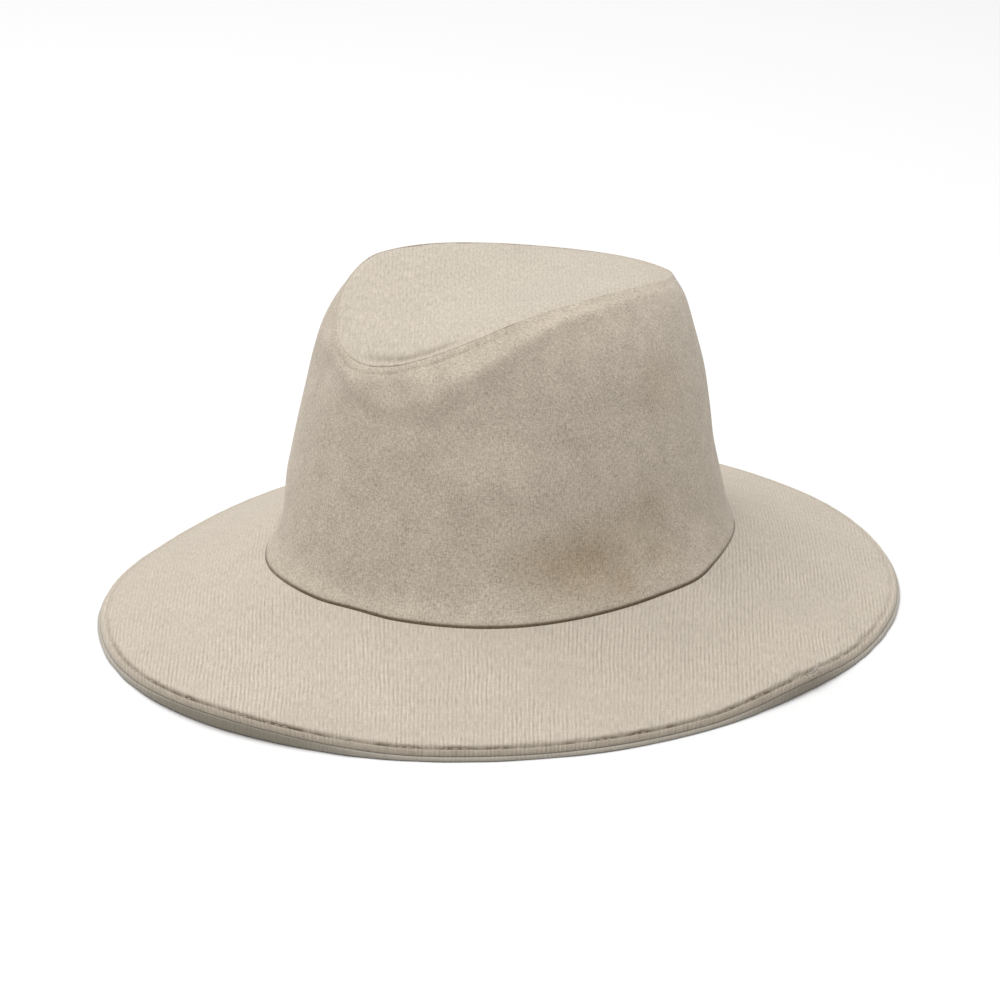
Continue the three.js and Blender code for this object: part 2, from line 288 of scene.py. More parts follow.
crownWall = {
    "columns": 240,
    # front, back, widest, half width, power at front and back, height at front, side and back
    "rings": [
        (-98, 98, 0, 92.8, 2.06, 2.06, 26.9, 26.9, 26.9),
        (-98, 98, 0, 92.8, 2.06, 2.06, 30.2, 30.2, 30.2),
        (-93, 98, 0, 88.3, 2, 2, 38, 38, 38),
        (-85.5, 97, 1, 82, 2, 2, 62, 62, 62),
        (-78.5, 96.2, -1, 73.8, 2, 2, 92, 97, 91),
        (-75.5, 94, -4, 67, 2, 2, 106, 118, 106),
        (-74, 93.5, -9, 59, 1.95, 2, 115.5, 132, 117),
        (-71, 91.5, -17, 48, 1.9, 2, 121.2, 142, 124.5),
    ],
    "pathSteps": 10,
    # broad dents: angle, height, half span in degrees, half height, depth
    "dents": [
        (20, 111, 20, 13, 2.6),
        (336, 111, 20, 13, 2.2),
        (86, 52, 36, 24, 3),
        (232, 60, 40, 26, 2),
        (311, 30, 32, 32, 6.2),  # the last five shape the foot of the wall
        (13, 30, 12, 20, 1.7),
        (52, 30, 30, 16, -1.6),
        (104, 30, 13, 14, -1.6),
        (146, 36, 26, 34, -3.2),
    ],
    # where the crown's top has settled or stands up: angle, half span, drop
    "settling": [(227, 40, 2.1), (275, 34, -1.3)],
    # soft fold of the shoulder: angle, distance below the tip seam, outward push
    "shoulder": [
        (-30, 5, 0), (-10, 6, 0.4), (5, 11, 1.8), (18, 16, 3.6), (30, 17, 3.9), (45, 14, 3),
        (60, 11, 2.3), (75, 8.5, 2), (90, 7, 1.6), (120, 5, 1), (150, 5, 0),
    ],
    "shoulderFade": 7,  # the fold runs out downward over this length
    "shoulderLight": 0.5,  # and its cloth is painted paler by this share, a painted highlight
    # creases: angle, height, half width, half length, lean in degrees, depth
    "folds": [
        (93, 54, 4, 17, 5, 0.9), (84, 42, 8, 12, -24, 1.3), (101, 38, 9, 7, 0, -1),
        (72, 47, 16, 7, 70, 0.8), (52, 84, 22, 16, 20, -0.7), (36, 104, 7, 15, 60, 0.8),
    ],
    # darker brownish places, partly brownish cloth and partly painted shade in the dents and folds: angle,
    # height, half span in degrees, half height, strength
    "stainsAndShade": [
        (73, 48, 26, 22, 0.8), (58, 52, 15, 12, 0.3), (94, 58, 14, 20, 0.3), (84, 37, 7, 8, 0.7),
        (97, 43, 12, 10, 0.35), (108, 106, 18, 18, 0.3),
    ],
    # places painted paler, painted light where more light falls on the wall, by the same measures
    "fadesAndLight": [
        (48, 90, 22, 18, 0.55), (88, 52, 7, 14, 0.45), (114, 42, 9, 9, 0.4),
        (318, 70, 26, 46, 0.35), (315, 30, 16, 6, 0.7),
    ],
    "settleHem": 8,  # the cloth lies even within this distance of the hem
    "settleTip": 6,  # and of the tip seam
    "rowsAboveHem": [0, 1.7, 2.9, 3.2, 3.5, 3.9, 4.4, 5.2, 6.6, 8.8],
    "middleRows": 22,
    "rowsBelowTip": [13, 10.5, 8.5, 7, 5.8, 4.9, 4.2, 3.6, 3.1, 2.6, 2.1, 1.6, 1.2, 0.85, 0.55, 0.28, 0.08,
                     0],
    "innerStep": 3,  # the inside has one row for this many outside
    "stitchRow": 5,  # the tip's stitches lie on this row below the seam
    "tuckHeight": 4.2,  # above the hem, where the wall starts to tuck into the base seam
    "tuckDepth": 0.35,
    "tuckRun": 0.8,
    # raised strip between the tip seam and its stitches, proud over one stretch and flat elsewhere
    "welt": {"stretch": (16, 62, 1.6), "flat": 0.12, "width": 3.4, "stray": 0.25, "rise": 0.45,
             "fullness": 0.8, "puckers": 0.45},
    # the stitches pull it down at this share of its width
    "stitchDip": {"place": 1.05, "width": 0.16, "depth": 0.1, "puckers": 0.5},
    "millimetresPerDegree": 1.4,  # round the wall, for the folds
    "streakCount": 400,  # faint upright streaks round the wall
    "streakPitch": 1.45 * mm,
}


def wallDent(angle, height):
    clearHeight = max(height, seamHeight) / mm
    depth = 0
    for middle, level, halfSpan, halfHeight, deepest in crownWall["dents"]:
        upright = smoothStep(1 - abs(clearHeight - level) / halfHeight)
        depth += deepest * stretch(angle, middle, halfSpan) * upright
    return depth * mm


def seamShift(angle):  # how far the base seam strays outward from the oval
    return -wallDent(angle, seamHeight) / mm


def shoulderPush(angle, belowTip):
    table = crownWall["shoulder"]
    turn = turned(angle, 0)
    for (start, startBelow, startPush), (end, endBelow, endPush) in zip(table, table[1:]):
        if start <= turn < end:
            t = smoothStep((turn - start) / (end - start))
            below = (startBelow + (endBelow - startBelow) * t) * mm
            push = (startPush + (endPush - startPush) * t) * mm
            if belowTip < below:
                return push * belowTip / below
            return push * smoothStep(1 - (belowTip - below) / (crownWall["shoulderFade"] * mm))
    return 0


def shoulderHighlight(angle, belowTip):  # painted highlight: the cloth is painted paler from the tip seam down to the shoulder's fold
    deepest = max(push for turn, below, push in crownWall["shoulder"])
    return crownWall["shoulderLight"] * shoulderPush(angle, belowTip) / (deepest * mm)


def wallMark(table, angle, height):
    clean = 1
    for middle, level, halfSpan, halfHeight, strength in table:
        across = abs(turned(angle, middle)) / halfSpan
        upward = abs(height / mm - level) / halfHeight
        clean *= 1 - strength * smoothStep(1 - math.hypot(across, upward))
    return 1 - clean


def wallFold(angle, height):
    depth = 0
    for middle, level, halfWidth, halfLength, lean, deepest in crownWall["folds"]:
        x = turned(angle, middle) * crownWall["millimetresPerDegree"]
        z = height / mm - level
        sine, cosine = sineCosine(lean)
        across = x * cosine - z * sine
        along = x * sine + z * cosine
        depth += deepest * smoothStep(1 - abs(across) / halfWidth) * smoothStep(1 - abs(along) / halfLength)
    return depth * mm


def weltRise(angle, belowTip, along):
    welt, dip = crownWall["welt"], crownWall["stitchDip"]
    proud = max(stretch(angle, *welt["stretch"]), welt["flat"])
    share = belowTip / mm / (welt["width"] + welt["stray"] * pucker(along, 9 * mm, seed=2))
    rise = 0
    if share < 1:
        rise = welt["rise"] * math.sin(math.pi * share) ** welt["fullness"]
        rise *= 1 + welt["puckers"] * pucker(along, 6 * mm, seed=4)
    sunk = dip["depth"] * math.exp(-((share - dip["place"]) / dip["width"]) ** 2)
    sunk *= 1 + dip["puckers"] * pucker(along, 5 * mm, seed=6)
    return (rise - sunk) * proud * mm


def wallColumns():
    plan = crownWall
    angles = columnAngles(plan["columns"])
    columns, belowTips = [], []
    for angle in angles:
        path = softPath([ringPoint(ring, angle) for ring in plan["rings"]], plan["pathSteps"])
        length = lineLengths(path)[-1]
        low = [distance * mm for distance in plan["rowsAboveHem"]]
        high = [length - distance * mm for distance in plan["rowsBelowTip"]]
        step = (high[0] - low[-1]) / (plan["middleRows"] + 1)
        distances = low + [low[-1] + step * (row + 1) for row in range(plan["middleRows"])] + high
        columns.append([path[i].lerp(path[i + 1], share) for i, share in walkLine(path, distances)])
        belowTips.append([length - distance for distance in distances])
        for point in columns[-1]:
            point -= seamOutward(angle) * wallDent(angle, point.z)
    normals = gridNormals(columns)
    for angle, column, facings, belows in zip(angles, columns, normals, belowTips):
        for point, facing, below in zip(column, facings, belows):
            point += facing * shoulderPush(angle, below)
    return columns, belowTips


def makeCrownWall(material, mitres):
    plan = crownWall
    angles = columnAngles(plan["columns"])
    columns, belowTips = wallColumns()
    alongs = lineLengths([column[-1] for column in columns])
    normals = gridNormals(columns)
    hem = columns[0][0].z
    for angle, along, column, facings, belows in zip(angles, alongs, columns, normals, belowTips):
        for point, facing, below in zip(column, facings, belows):
            rise = weltRise(angle, below, along) - wallFold(angle, point.z)
            settled = smoothStep((point.z - hem) / (plan["settleHem"] * mm))
            settled *= smoothStep(below / (plan["settleTip"] * mm))
            point += facing * (rise + unevenness(point) * settled)
    normals = gridNormals(columns)
    around = plan["streakCount"] * plan["streakPitch"]
    picked = thinned(range(len(columns[0]) - 1, -1, -1), plan["innerStep"])
    clean = [0] * len(picked)
    sections, flats, shadeMarks, stainsAndShade, fadesAndLight, line = [], [], [], [], [], []
    for i, column in enumerate(columns):
        angle, belows = angles[i], belowTips[i]
        baseShade, tipShade = baseSeamShade(angle), tipSeamShade(angle, alongs[i])
        outer, shadeMark, stainedAndShaded, fadedAndLit = [], [], [], []
        for point, below in zip(column, belows):
            roll, drawn = seamRoll(angle, below)
            tuck = smoothStep((plan["tuckHeight"] - (point.z - hem) / mm) / plan["tuckRun"])
            tucked = seamOutward(angle) * plan["tuckDepth"] * mm * tuck * baseShade
            outer.append(point + mitres[i].normalized() * drawn - tucked)
            # painted shade in the tip seam's roll and in the tuck of the base seam
            shadeMark.append(max(roll * tipShade, tuck ** 3 * baseShade))
            # brownish stain, partly painted shade on the dents and folds
            stainedAndShaded.append(wallMark(plan["stainsAndShade"], angle, point.z))
            # painted light on paler places and a painted highlight down to the shoulder's fold
            fadedAndLit.append(max(wallMark(plan["fadesAndLight"], angle, point.z), shoulderHighlight(angle, below)))
        inner = [point - facing * canvas["thickness"] for point, facing in zip(column, normals[i])]
        inner[0].z = hem
        inner[-1] = column[-1] + mitres[i]
        sections.append(outer + [inner[row] for row in picked])
        line.append((outer[-1 - plan["stitchRow"]], normals[i][-1 - plan["stitchRow"]]))
        shadeMarks.append(shadeMark + [seamLines["innerShade"]] * len(picked))
        stainsAndShade.append(stainedAndShaded + clean)
        fadesAndLight.append(fadedAndLit + clean)
        heights = [belows[0] - below for below in belows]
        heights += [heights[row] for row in picked]
        flats.append([(around * i / len(columns), height) for height in heights])
    piece = sewCloth("crownWall", sections, True)
    markCloth(piece, flats, shadeMarks, around, stainsAndShade, fadesAndLight)
    finishCloth(piece, material, "crown_side")
    return line


# Both seams show at the wearer's left and fade out round the far side, their painted shade as well as their
# grooves.
# A stretch is its middle, its half span and its steepness.
seamLines = {
    "tipStretch": (62, 90, 1.8),
    # painted shade along the tip seam
    "tipShade": 0.6,
    "tipBreaks": 0.7,  # the line breaks off here and there
    "tipBreakLength": 3,
    "leastRoll": 0.05,
    "rollLength": 0.9,  # the edges of wall and tip roll into their seam over this length
    "rollDepth": 0.5,
    "baseStretch": (50, 100, 1.7),
    "leastBase": 0.1,
    "innerShade": 0.3,  # painted shade: the inside of the crown is a little darker
}


def tipSeamShade(angle, along):
    breaks = pucker(along, seamLines["tipBreakLength"] * mm, seed=40)
    shade = min(max(seamLines["tipShade"] + seamLines["tipBreaks"] * breaks, 0), 1)
    return stretch(angle, *seamLines["tipStretch"]) * shade


def seamRoll(angle, fromSeam):  # how rolled the cloth is at the tip seam, and how far it is drawn in
    least = seamLines["leastRoll"]
    roll = max(1 - fromSeam / (seamLines["rollLength"] * mm), 0) ** 2
    depth = seamLines["rollDepth"] * mm * roll
    return roll, depth * (least + (1 - least) * stretch(angle, *seamLines["tipStretch"]))


def baseSeamShade(angle):
    least = seamLines["leastBase"]
    return least + (1 - least) * stretch(angle, *seamLines["baseStretch"])


crownTip = {
    "columns": 240,
    "dip": 6,
    "rowsFromSeam": [0, 0.08, 0.28, 0.55, 0.85, 1.2, 1.6, 2.1, 2.6, 3.1, 3.6, 4.2, 4.9, 5.8, 7, 8.8],
    "middleRows": 16,
    "underStep": 2,  # the underside has one row for this many on top
    "smallestShare": 0.02,
    "valleyDepth": 0.35,  # the panel sinks a little beside its seam
    "valleyWidth": 4,
    "valleyPuckers": 0.8,
    "settleEdge": 8,  # the cloth lies even within this distance of the seam
    "slack": 1.3,
    # a deeper crease runs beside the seam here, with painted shade in it
    "crease": {"stretch": (24, 34, 1.4), "fromSeam": 3.2, "stray": 0.5, "width": 1.3, "depth": 0.9,
               "shade": 0.3},
}


def tipPoint(angle, share):
    ring = crownWall["rings"][-1]
    front, back, widest, halfWidth, frontPower, backPower, frontHeight, sideHeight, backHeight = ring
    rim = (ringPoint(ring, angle) - headMiddle) / mm
    y = widest + (rim.y - widest) * share
    ahead = y < widest
    end = front if ahead else back
    power = frontPower if ahead else backPower
    endHeight = frontHeight if ahead else backHeight
    run = abs((y - widest) / (end - widest))
    arch = sideHeight - (sideHeight - endHeight) * run ** power
    settled = (ringHeight(ring, angle) - rim.z) * share * share
    z = arch - settled - crownTip["dip"] * (1 - share * share) ** 2
    return Vector((rim.x * share, y, z)) * mm + headMiddle


def tipCrease(angle, fromSeam, along):
    crease = crownTip["crease"]
    place = crease["fromSeam"] + crease["stray"] * pucker(along, 14 * mm, seed=51)
    across = (fromSeam / mm - place) / crease["width"]
    return stretch(angle, *crease["stretch"]) * math.exp(-across * across)


# Step from the tip seam down its mitre, between the directions in which wall and tip point away
def seamMitres():
    columns, belowTips = wallColumns()
    wallNormals = gridNormals(columns)
    tipNormals = gridNormals([[tipPoint(angle, share) for share in (1, 0.97)]
                              for angle in columnAngles(len(columns))])
    mitres = []
    for wallColumn, tipColumn in zip(wallNormals, tipNormals):
        middle = (wallColumn[-1] + tipColumn[0]).normalized()
        mitres.append(-middle * canvas["thickness"] / middle.dot(wallColumn[-1]))
    return mitres


def makeCrownTip(material, mitres):
    plan = crownTip
    angles = columnAngles(plan["columns"])
    columns, fromSeams = [], []
    for angle in angles:
        rim, middle = tipPoint(angle, 1), tipPoint(angle, 0)
        radius = math.hypot(rim.x - middle.x, rim.y - middle.y)
        edge = [1 - distance * mm / radius for distance in plan["rowsFromSeam"]]
        step = (edge[-1] - plan["smallestShare"]) / plan["middleRows"]
        shares = edge + [edge[-1] - step * (row + 1) for row in range(plan["middleRows"])]
        columns.append([tipPoint(angle, share) for share in shares])
        fromSeams.append([(1 - share) * radius for share in shares])
    alongs = lineLengths([column[0] for column in columns])
    normals = gridNormals(columns)
    picked = thinned(range(len(columns[0])), plan["underStep"])
    sections, flats, shadeMarks = [], [], []
    for i, column in enumerate(columns):
        angle, mitre, along = angles[i], mitres[i], alongs[i]
        puckers = plan["valleyPuckers"] * pucker(along, 8 * mm, seed=12)
        valley = plan["valleyDepth"] * mm * (1 + puckers)
        tipShade = tipSeamShade(angle, along)
        outer, shadeMark = [], []
        for point, facing, away in zip(column, normals[i], fromSeams[i]):
            crease = tipCrease(angle, away, along)
            roll, drawn = seamRoll(angle, away)
            rise = -valley * math.exp(-(away / (plan["valleyWidth"] * mm)) ** 2)
            rise -= plan["crease"]["depth"] * mm * crease
            rise += unevenness(point) * smoothStep(away / (plan["settleEdge"] * mm)) * plan["slack"]
            outer.append(point + facing * rise + mitre.normalized() * drawn)
            # painted shade in the tip seam and in the crease beside it
            shadeMark.append(max(roll * tipShade, plan["crease"]["shade"] * crease))
        outer[0] -= seamOutward(angle) * canvas["pressedGap"]
        under = [column[row] - normals[i][row] * canvas["thickness"] for row in picked]
        under[0] = outer[0] + mitre * (1 - seamRoll(angle, 0)[1] / mitre.length)
        sections.append(under[::-1] + outer)
        shadeMarks.append([seamLines["innerShade"]] * len(picked) + shadeMark)
        flat = [weaveOnPlan(point) for point in column]
        flats.append([flat[row] for row in picked[::-1]] + flat)
    piece = sewCloth("crownTip", sections, False)
    markCloth(piece, flats, shadeMarks)
    finishCloth(piece, material, "crown_tip")
    closeMiddle()


def weaveOnPlan(point):
    sine, cosine = sineCosine(canvas["ribHeading"])
    x, y = point.x - headMiddle.x, point.y - headMiddle.y
    return (x * cosine + y * sine, y * cosine - x * sine)


brimTop = {
    "columns": 540,
    # reach beyond the head opening at each sixteenth of a turn, from the front
    "reach": [69, 63.7, 59.2, 58.4, 59.9, 64.6, 70.6, 75, 77.5, 75, 70, 62, 56.4, 55.3, 63.6, 68],
    "sag": 0.22,
    "setback": 2.2,
    "edgeThickness": 2.4,
    "underEdge": 1.4,
    "gap": 0.3,
    "liftRun": 32,
    # where the upper ply's edge stands off the lower one: angle, half span, rise
    "lifts": [(8, 30, 3.6), (99, 18, 2.6), (205, 26, 1.6)],
    "seamRows": [0.1, 0.16, 0.3, 0.5, 0.8, 1.3, 2.4, 4],
    "seamDrops": [0.9, 0.45, 0.2, 0.08, 0.02, 0, 0, 0],
    "middleRows": 11,
    # the turned edge, from within the crease to the fold on the lower ply: outward of the edge, height
    "edgeProfile": [
        (-7.4, 0), (-6.2, 0), (-5.6, -0.02), (-5.1, -0.12), (-4.7, -0.42), (-4.3, -0.85), (-3.9, -1.3),
        (-3.55, -0.8), (-3.2, -0.45), (-2.8, -0.32), (-2.4, -0.32), (-2.05, -0.45), (-1.75, -0.7),
        (-1.45, -1.1), (-1.22, -1.5), (-1.12, -1.95), (-1.14, -2.38), (-1.4, -2.5), (-3, -2.5),
        (-4.6, -2.2),
    ],
    "underRows": 6,
    "underGap": 0.02,  # the underside lies this much lower than the cloth is thick
    "sideHeight": -1.4,  # what lies lower is the edge's outer side and its underside
    "slack": 1.2,  # unevenness, which settles towards the seam and the edge
    "settled": (2, 4, 10),  # even this far from the seam and from the edge, then over this run
    # painted shade in the base seam beside the wall
    "seamShade": 0.75,
    "seamShadeEnd": (0.25, 0.45),  # full up to here, then it ends over this run
    "crease": -3.9,  # the line of stitches, inward of the edge
    # painted shade in the crease, broken here and there
    "creaseShade": 0.85,
    "creaseBreaks": 0.4,
    "creaseWidth": 0.85,
    "creaseStretch": (50, 88, 2.2),  # pressed deep round this angle: middle, half span, steepness
    "faintCrease": 0.15,
    "ridge": -2.9,  # the crease reaches outward to here
    "edgeShade": 0.4,  # painted shade: the cloth is darker outward of the crease
    "gatherReach": 3,  # to each side of the crease
    "gatherLength": 7,
    "gatherRise": 0.45,
    "gatherRun": 1,
    "slowGatherLength": 24,
    "slowGatherRise": 0.2,
    "gathered": [(104, 26, 1.1), (60, 18, 0.4), (330, 24, 0.4), (40, 90, 0.35)],
    "evenGather": 0.4,
    "fade": (245, 130, 1.4),  # the ribs are worn faint round the far side
    "fadeShare": 0.65,
}
edgeTop = brimTop["underEdge"] + brimTop["gap"] + brimTop["edgeThickness"]


# Reach of the brim at any angle, as a closed smooth curve through the table
def brimReach(angle):
    table = brimTop["reach"]
    count = len(table)
    place = angle / 360 * count
    i = math.floor(place)
    t = place - i
    before, start, end, after = (table[(i + k) % count] for k in (-1, 0, 1, 2))
    leave, arrive = (end - before) / 2, (after - start) / 2
    cubic = 2 * start - 2 * end + leave + arrive
    square = 3 * end - 3 * start - 2 * leave - arrive
    return ((cubic * t + square) * t + leave) * t + start


def faceReach(angle):  # to the middle of the upper ply's turned edge
    return brimReach(angle) - brimTop["setback"] - brimTop["edgeThickness"] / 2


# Height of the upper ply's face at a distance from the oval, without any lift
def brimHeight(angle, distance):
    shift = seamShift(angle)
    run = (distance - shift) / (faceReach(angle) - shift)
    drop = run + brimTop["sag"] * run * (1 - run)
    return seamHeight / mm - (seamHeight / mm - edgeTop) * drop


def brimPoint(angle, distance, height):
    point = ringPoint(crownWall["rings"][1], angle) + seamOutward(angle) * distance * mm
    point.z = height * mm
    return point


# Flat weave coordinates of a brim point, from how far the cloth runs out from the middle of the hat
def weaveOnBrim(angle, slant):
    base = ringPoint(crownWall["rings"][1], angle) - headMiddle
    base.z = 0
    return weaveOnPlan(headMiddle + base + seamOutward(angle) * slant * mm)


def creaseShare(angle):
    return stretch(angle, *brimTop["creaseStretch"])


def gatherStrength(angle):
    return brimTop["evenGather"] + sumStretches(angle, brimTop["gathered"])


def edgeLengths(angles):
    return lineLengths([brimPoint(angle, brimReach(angle), 0) for angle in angles])


# Section of the upper ply from its seam out to the edge and back underneath
def brimSection(angle, along):
    plan = brimTop
    reach, shift, baseShade = brimReach(angle), seamShift(angle), baseSeamShade(angle)
    gather = pucker(along, plan["gatherLength"] * mm, seed=21) * gatherStrength(angle)
    slowGather = pucker(along, plan["slowGatherLength"] * mm, seed=25)
    profile = []
    for row, (distance, drop) in enumerate(zip(plan["seamRows"], plan["seamDrops"])):
        if row == 0:
            distance *= baseShade
        profile.append((shift + distance, brimHeight(angle, shift + distance) - drop * baseShade))
    first, last = shift + plan["seamRows"][-1], reach + plan["edgeProfile"][0][0]
    for row in range(1, plan["middleRows"] + 1):
        distance = first + (last - first) * row / (plan["middleRows"] + 1)
        profile.append((distance, brimHeight(angle, distance)))
    for outward, height in plan["edgeProfile"]:
        onFace = height > plan["sideHeight"]
        level = max(brimHeight(angle, reach + outward), edgeTop) if onFace else edgeTop
        if onFace and outward < plan["ridge"]:
            height *= creasePressed(angle)
        near = smoothStep(1 - abs(outward - plan["crease"]) / plan["gatherReach"])
        wave = (plan["gatherRise"] * gather + plan["slowGatherRise"] * slowGather) * near
        profile.append((reach + outward + plan["gatherRun"] * gather * near, level + height + wave))
    start, end = profile[-1][0], shift + plan["seamRows"][0]
    below = canvas["thickness"] / mm + plan["underGap"]
    for row in range(1, plan["underRows"] + 1):
        distance = start + (end - start) * row / plan["underRows"]
        profile.append((distance, brimHeight(angle, distance) - below))
    lift, face = sumStretches(angle, plan["lifts"]), faceReach(angle)
    return [(distance, height + lift * smoothStep(1 - (face - distance) / plan["liftRun"]))
            for distance, height in profile]


def creasePressed(angle):
    return brimTop["faintCrease"] + (1 - brimTop["faintCrease"]) * creaseShare(angle)


def makeBrimTop(material):
    plan = brimTop
    angles = columnAngles(plan["columns"])
    seamSide, edgeSide, settleRun = plan["settled"]
    shadeEnd, shadeRun = plan["seamShadeEnd"]
    faceRows = len(plan["seamRows"]) + plan["middleRows"]
    creaseRows = range(faceRows, faceRows + len(plan["edgeProfile"]) // 2)
    sections, flats, shadeMarks, fadesAndLight, line = [], [], [], [], []
    for angle, along in zip(angles, edgeLengths(angles)):
        reach, shift = brimReach(angle), seamShift(angle)
        profile = brimSection(angle, along)
        points, flat, shadeMark = [], [], []
        slant = shift
        for row, (distance, height) in enumerate(profile):
            point = brimPoint(angle, distance, height)
            soft = smoothStep((distance - shift - seamSide) / settleRun)
            soft *= smoothStep((reach - distance - edgeSide) / settleRun)
            point.z += unevenness(point) * soft * plan["slack"]
            points.append(point)
            if row:
                slant += math.hypot(distance - profile[row - 1][0], height - profile[row - 1][1])
            flat.append(weaveOnBrim(angle, slant))
            # painted shade in the base seam, in the crease and on the turned edge outward of it
            inSeam = plan["seamShade"] * (1 - smoothStep((distance - shift - shadeEnd) / shadeRun))
            fromCrease = distance - reach - plan["crease"]
            inCrease = 0
            if row in creaseRows:
                breaks = plan["creaseBreaks"] * pucker(along, 5 * mm, seed=27)
                inCrease = creasePressed(angle) * (plan["creaseShade"] + breaks)
                inCrease *= math.exp(-(fromCrease / plan["creaseWidth"]) ** 2)
            onEdge = plan["edgeShade"] * creaseShare(angle) if fromCrease > 0 else 0
            shadeMark.append(min(max(inSeam * baseSeamShade(angle), inCrease, onEdge), 1))
        creaseRow = min(creaseRows, key=lambda row: abs(profile[row][0] - reach - plan["crease"]))
        line.append((points[creaseRow], Vector((0, 0, 1))))
        sections.append(points[::-1])
        flats.append(flat[::-1])
        shadeMarks.append(shadeMark[::-1])
        fadesAndLight.append([plan["fadeShare"] * stretch(angle, *plan["fade"])] * len(points))
    piece = sewCloth("brimTop", sections, True)
    markCloth(piece, flats, shadeMarks, fadesAndLight=fadesAndLight)
    finishCloth(piece, material, "brim_top")
    return line


brimUnder = {
    "columns": 240,
    "rows": 14,
    "turn": 5,  # the two plies run side by side up to this far from the edge
    "gatherLength": 9,
    "gatherRun": 0.4,
    "gatherAbove": 0.2,  # the foot stays straight up to this height
    "fill": 0.99,  # the turned edge fills this share of the upper ply's lift
    "overhang": 0.4,  # and its foot is set back by this share of it
    # painted shade on the lower ply's turned edge
    "edgeShade": 0.3,
    "liftedShade": 0.25,  # painted shade where the upper ply stands off, more of it for each millimetre of lift
    "shadedEdge": -1,  # from here outward
    "weaveRun": 1.08,  # the sloping cloth is this much longer than on plan
    # the turned edge from the foot to the upper side: outward of the edge, height
    "edgeProfile": [
        (-3.9, 0), (-2.2, 0), (-0.9, 0), (-0.4, 0.03), (-0.12, 0.22), (0, 0.6), (-0.08, 1.0),
        (-0.35, 1.38), (-0.75, 1.54), (-1.3, 1.58), (-2.4, 1.55), (-3.4, 1.48),
    ],
}


def makeBrimUnder(material):
    plan = brimUnder
    angles = columnAngles(plan["columns"])
    thickness = canvas["thickness"] / mm
    below = thickness + brimTop["gap"]
    tallest = max(height for outward, height in plan["edgeProfile"])
    sections, flats, shadeMarks = [], [], []
    for angle, along in zip(angles, edgeLengths(angles)):
        reach = brimReach(angle)
        start = seamShift(angle) + brimTop["gap"]
        run = reach - brimTop["setback"] - plan["turn"] - start
        distances = [start + run * row / plan["rows"] for row in range(plan["rows"] + 1)]
        lift = sumStretches(angle, brimTop["lifts"])
        gather = pucker(along, plan["gatherLength"] * mm, seed=31) * gatherStrength(angle)
        # painted shade on the turned edge, deeper under the upper ply's lifted stretches
        shade = min(plan["edgeShade"] * creaseShare(angle) + plan["liftedShade"] * lift, 1)
        profile = [(distance, brimHeight(angle, distance) - below - thickness) for distance in distances]
        shadeMark = [0] * len(profile)
        for outward, height in plan["edgeProfile"]:
            wave = plan["gatherRun"] * gather if height > plan["gatherAbove"] else 0
            share = height / tallest
            setBack = plan["overhang"] * lift * (1 - share)
            profile.append((reach + outward + wave - setBack, height + plan["fill"] * lift * share))
            shadeMark.append(shade if outward > plan["shadedEdge"] else 0)
        profile += [(distance, brimHeight(angle, distance) - below) for distance in reversed(distances)]
        sections.append([brimPoint(angle, distance, height) for distance, height in profile])
        flats.append([weaveOnBrim(angle, distance * plan["weaveRun"]) for distance, height in profile])
        shadeMarks.append(shadeMark + [0] * (len(profile) - len(shadeMark)))
    piece = sewCloth("brimUnder", sections, True)
    markCloth(piece, flats, shadeMarks)
    finishCloth(piece, material, "brim_under")


stitches = {
    "length": 2.7,
    "gap": 0.9,
    "thread": 0.42,
    "sink": 0.12,  # how far a stitch lies in the cloth
    "arch": 0.12,
}


# One stitch, lying along X and arched so that its ends go into the cloth
def makeStitch():
    bpy.ops.mesh.primitive_uv_sphere_add(segments=6, ring_count=6, radius=stitches["thread"] * mm / 2)
    stitch = bpy.context.active_object
    bpy.ops.transform.resize(value=(stitches["length"] / stitches["thread"], 1, 1))
    bpy.ops.object.transform_apply()
    for vertex in stitch.data.vertices:
        share = vertex.co.x / (stitches["length"] * mm / 2)
        vertex.co.z -= stitches["arch"] * mm * share * share
    return stitch


# The piece becomes one mesh that holds a copy of itself at each place
def spreadCopies(piece, name, places, material):
    data = piece.data
    corners = [vertex.co.copy() for vertex in data.vertices]
    faces = [tuple(face.vertices) for face in data.polygons]
    allCorners, allFaces = [], []
    for place in places:
        first = len(allCorners)
        allCorners += [place @ corner for corner in corners]
        allFaces += [tuple(first + corner for corner in face) for face in faces]
    data.clear_geometry()
    data.from_pydata(allCorners, [], allFaces)
    piece.name = name
    data.name = name
    finishPiece(piece, material)


# Stitches one after another round a closed line of points, each with the way the cloth faces
def sewStitches(name, line, material):
    points = [point for point, facing in line] + [line[0][0]]
    length = lineLengths(points)[-1]
    count = round(length / ((stitches["length"] + stitches["gap"]) * mm))
    places = []
    for i, share in walkLine(points, [length * (number + 0.5) / count for number in range(count)]):
        along = (points[i + 1] - points[i]).normalized()
        side = line[i][1].cross(along).normalized()
        up = along.cross(side)
        place = Matrix((along, side, up)).transposed().to_4x4()
        place.translation = points[i].lerp(points[i + 1], share) - up * stitches["sink"] * mm
        places.append(place)
    spreadCopies(makeStitch(), name, places, material)


# A worn spot on the edge of the brim, where short ends of thread stand out of the crease
frayedThreads = {
    "angle": 102.5,
    "halfSpan": 3.4,
    "count": 90,
    "length": (1.2, 3.4),
    "thickness": 0.24,
    "cuts": (0.35, 0.7),  # the thread bends here along its length
    "taper": 0.6,
    "curl": 0.5,
    # least and most: how each leans outward, along the edge and up, and strays outward and along
    "leans": ((-0.2, 1.2), (-1, 1), (0.1, 0.7)),
    "strays": ((-0.4, 1.6), (-1, 1)),
    "seed": 11,
}


